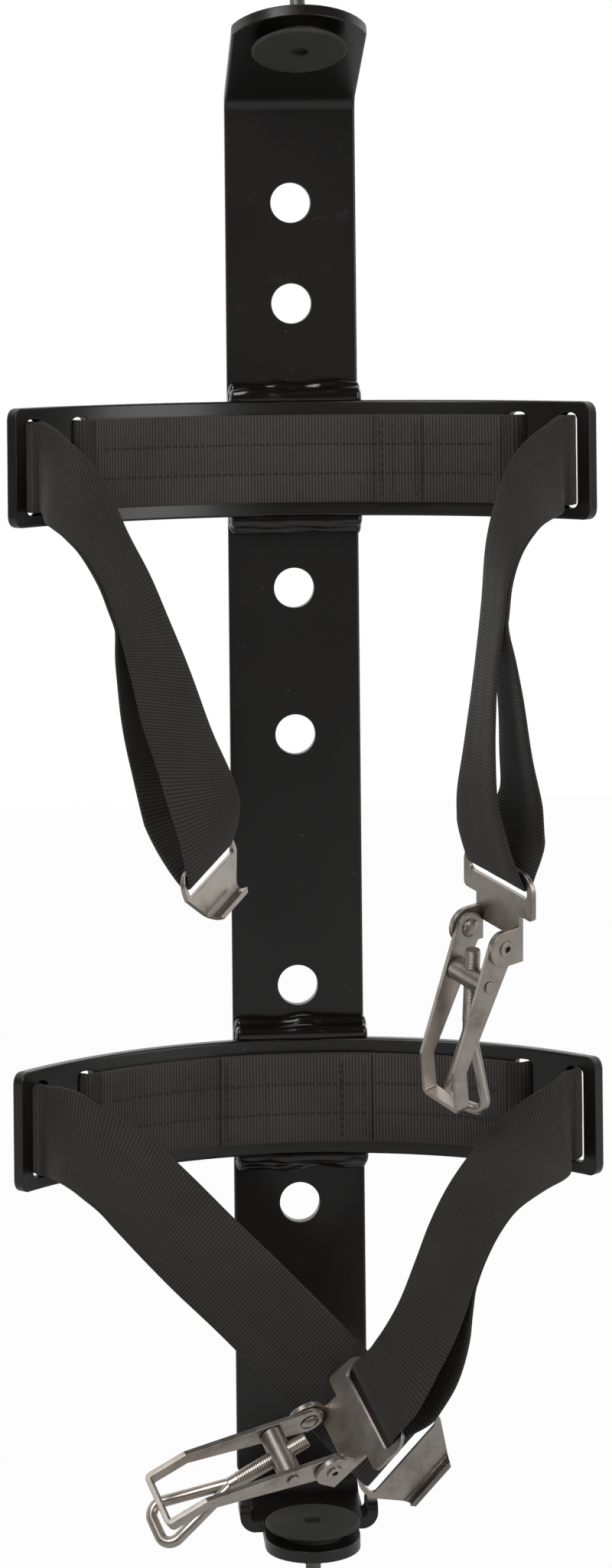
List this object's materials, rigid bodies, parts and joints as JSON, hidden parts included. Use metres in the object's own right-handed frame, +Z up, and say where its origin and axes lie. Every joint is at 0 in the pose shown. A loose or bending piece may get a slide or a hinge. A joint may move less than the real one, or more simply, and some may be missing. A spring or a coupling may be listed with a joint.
{
  "type": "fire extinguisher bracket",
  "caption": "Wall bracket that carries a fire extinguisher on a bent bar with curved cradles, webbing straps and over-centre latches.",
  "frame": {"origin": "midway between the two middle mounting holes, on the bar's wall face", "axes": "+Z up along the bar, +Y into the wall, +X to the right seen from the front"},
  "size_m": [0.2476, 0.1377, 0.6691],
  "materials": {
    "black_paint": "glossy brown-black paint",
    "webbing": "ribbed charcoal polyester webbing",
    "stainless": "satin stainless steel",
    "rubber": "matt dark grey rubber",
    "fastener_steel": "dull plated steel"
  },
  "bodies": {
    "frame": {"backbone": "black_paint", "top_bumper": "rubber", "top_bumper_screw": "fastener_steel", "top_bumper_nut": "fastener_steel", "foot_bumper": "rubber", "foot_bumper_screw": "fastener_steel", "foot_bumper_nut": "fastener_steel", "upper_spacer": "black_paint", "upper_cradle": "black_paint", "upper_welds": "black_paint", "upper_pad": "webbing", "upper_left_strap": "webbing", "upper_right_strap": "webbing", "lower_spacer": "black_paint", "lower_cradle": "black_paint", "lower_welds": "black_paint", "lower_pad": "webbing", "lower_left_strap": "webbing", "lower_right_strap": "webbing"},
    "upper_latch": {"upper_latch_base": "stainless", "upper_latch_rivets": "stainless"},
    "upper_handle": {"upper_latch_handle": "stainless"},
    "upper_trunnion": {"upper_latch_trunnion": "stainless"},
    "upper_bolt": {"upper_latch_hook_bolt": "stainless"},
    "lower_latch": {"lower_latch_base": "stainless", "lower_latch_rivets": "stainless"},
    "lower_handle": {"lower_latch_handle": "stainless"},
    "lower_trunnion": {"lower_latch_trunnion": "stainless"},
    "lower_bolt": {"lower_latch_hook_bolt": "stainless"},
    "upper_hook": {"upper_hook_plate": "stainless"},
    "lower_hook": {"lower_hook_plate": "stainless"}
  },
  "joints": [
    {"name": "upper_latch_swing", "type": "hinge", "parent": "frame", "child": "upper_latch", "pos_m": [0.0758, -0.1048, -0.076], "axis": [-0.498, 0.8407, 0.2126], "range_deg": [-5, 15]},
    {"name": "upper_handle_close", "type": "hinge", "parent": "upper_latch", "child": "upper_handle", "pos_m": [0.07014, -0.10103, -0.10415], "axis": [-0.498, 0.8407, 0.2126], "range_deg": [0, 140]},
    {"name": "upper_trunnion_turn", "type": "hinge", "parent": "upper_handle", "child": "upper_trunnion", "pos_m": [0.06453, -0.10017, -0.12071], "axis": [-0.498, 0.8407, 0.2126], "range_deg": [-140, 0]},
    {"name": "upper_bolt_screw", "type": "slide", "parent": "upper_trunnion", "child": "upper_bolt", "axis": [-0.0184, 0.2348, -0.9719], "range_m": [-0.004, 0.006]},
    {"name": "lower_latch_swing", "type": "hinge", "parent": "frame", "child": "lower_latch", "pos_m": [0.0229, -0.1108, -0.2906], "axis": [-0.3463, 0.7182, 0.6035], "range_deg": [0, 15]},
    {"name": "lower_handle_close", "type": "hinge", "parent": "lower_latch", "child": "lower_handle", "pos_m": [-0.00052, -0.10798, -0.3074], "axis": [-0.3463, 0.7182, 0.6035], "range_deg": [0, 104]},
    {"name": "lower_trunnion_turn", "type": "hinge", "parent": "lower_handle", "child": "lower_trunnion", "pos_m": [-0.01683, -0.11391, -0.30969], "axis": [-0.3463, 0.7182, 0.6035], "range_deg": [-104, 0]},
    {"name": "lower_bolt_screw", "type": "slide", "parent": "lower_trunnion", "child": "lower_bolt", "axis": [-0.8802, -0.0261, -0.4739], "range_m": [-0.004, 0.006]},
    {"name": "upper_hook_swing", "type": "hinge", "parent": "frame", "child": "upper_hook", "pos_m": [-0.0429, -0.0737, -0.0752], "axis": [-0.5046, -0.7834, -0.3628], "range_deg": [0, 20]},
    {"name": "lower_hook_swing", "type": "hinge", "parent": "frame", "child": "lower_hook", "pos_m": [0.0316, -0.087, -0.3172], "axis": [-0.6816, 0, -0.7317], "range_deg": [-5, 15]}
  ],
  "couplings": [
    {"joint": "upper_trunnion_turn", "follows": "upper_handle_close", "ratio": -1},
    {"joint": "lower_trunnion_turn", "follows": "lower_handle_close", "ratio": -1}
  ]
}
